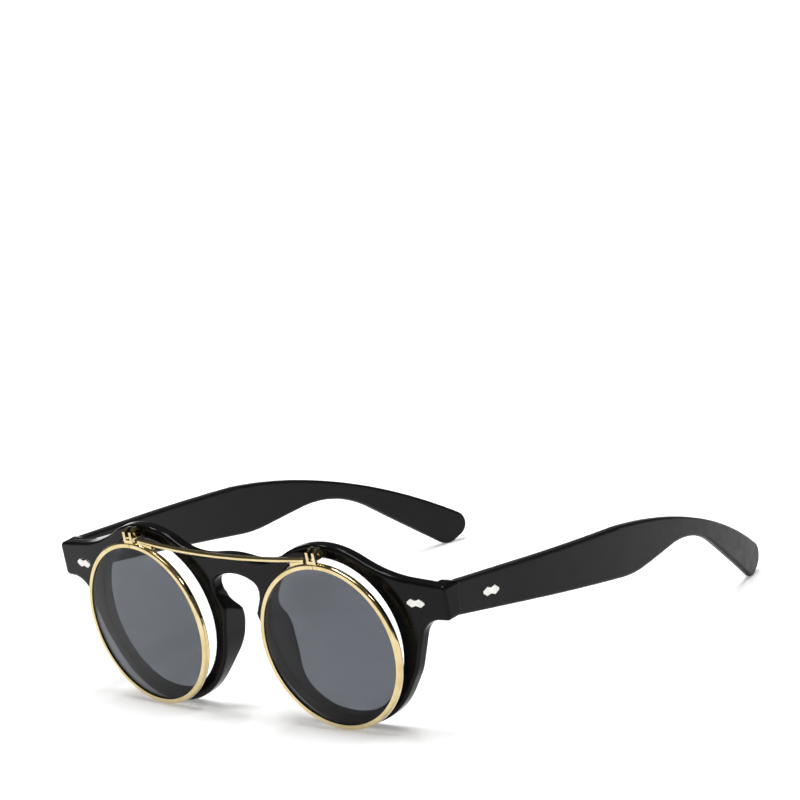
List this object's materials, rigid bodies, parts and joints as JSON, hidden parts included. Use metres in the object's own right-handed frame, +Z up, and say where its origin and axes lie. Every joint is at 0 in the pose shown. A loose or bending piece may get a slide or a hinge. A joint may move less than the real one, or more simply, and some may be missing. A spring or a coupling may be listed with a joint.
{
  "type": "flip-up sunglasses",
  "caption": "Round black eyeglass frame with a keyhole bridge, folding temples and a hinged gold-rimmed pair of grey tinted lenses that flips up off the clear lenses.",
  "frame": {"origin": "on the table, under the middle of the bounding box, with the lenses folded down and the temples open", "axes": "+X to the wearer's left, -Y the way the front looks, +Z up from the table"},
  "size_m": [0.148, 0.152, 0.0508],
  "materials": {
    "gloss_black": "polished black",
    "satin_black": "satin black moulding",
    "gold": "polished pale gold plating",
    "silver": "polished silver shields",
    "steel": "plain steel hinge metal",
    "clear_lens": "clear lens",
    "tinted_lens": "neutral grey tinted lens"
  },
  "bodies": {
    "front": {"front_frame": "gloss_black", "left_clear_lens": "clear_lens", "right_clear_lens": "clear_lens", "left_front_rivet": "silver", "right_front_rivet": "silver", "left_front_hinge_leaf": "steel", "right_front_hinge_leaf": "steel", "left_temple_hinge_screw": "steel", "right_temple_hinge_screw": "steel", "left_flip_hinge_base": "gloss_black", "right_flip_hinge_base": "gloss_black"},
    "flip_front": {"flip_bridge_bar": "gold", "left_flip_rim": "gold", "right_flip_rim": "gold", "left_tinted_lens": "tinted_lens", "right_tinted_lens": "tinted_lens", "left_flip_bracket": "gold", "right_flip_bracket": "gold", "left_flip_screw": "gold", "right_flip_screw": "gold"},
    "left_temple": {"left_temple_arm": "satin_black", "left_temple_hinge_leaf": "steel", "left_temple_rivet": "silver"},
    "right_temple": {"right_temple_arm": "satin_black", "right_temple_hinge_leaf": "steel", "right_temple_rivet": "silver"}
  },
  "joints": [
    {"name": "flip_hinge", "type": "hinge", "parent": "front", "child": "flip_front", "pos_m": [0, -0.07251, 0.0493], "axis": [-1, 0, 0], "range_deg": [0, 100]},
    {"name": "left_temple_hinge", "type": "hinge", "parent": "front", "child": "left_temple", "pos_m": [0.0663, -0.0587, 0.03689], "axis": [0, 0.111, 0.9938], "range_deg": [0, 86]},
    {"name": "right_temple_hinge", "type": "hinge", "parent": "front", "child": "right_temple", "pos_m": [-0.0663, -0.0587, 0.03689], "axis": [0, -0.111, -0.9938], "range_deg": [0, 76]}
  ]
}
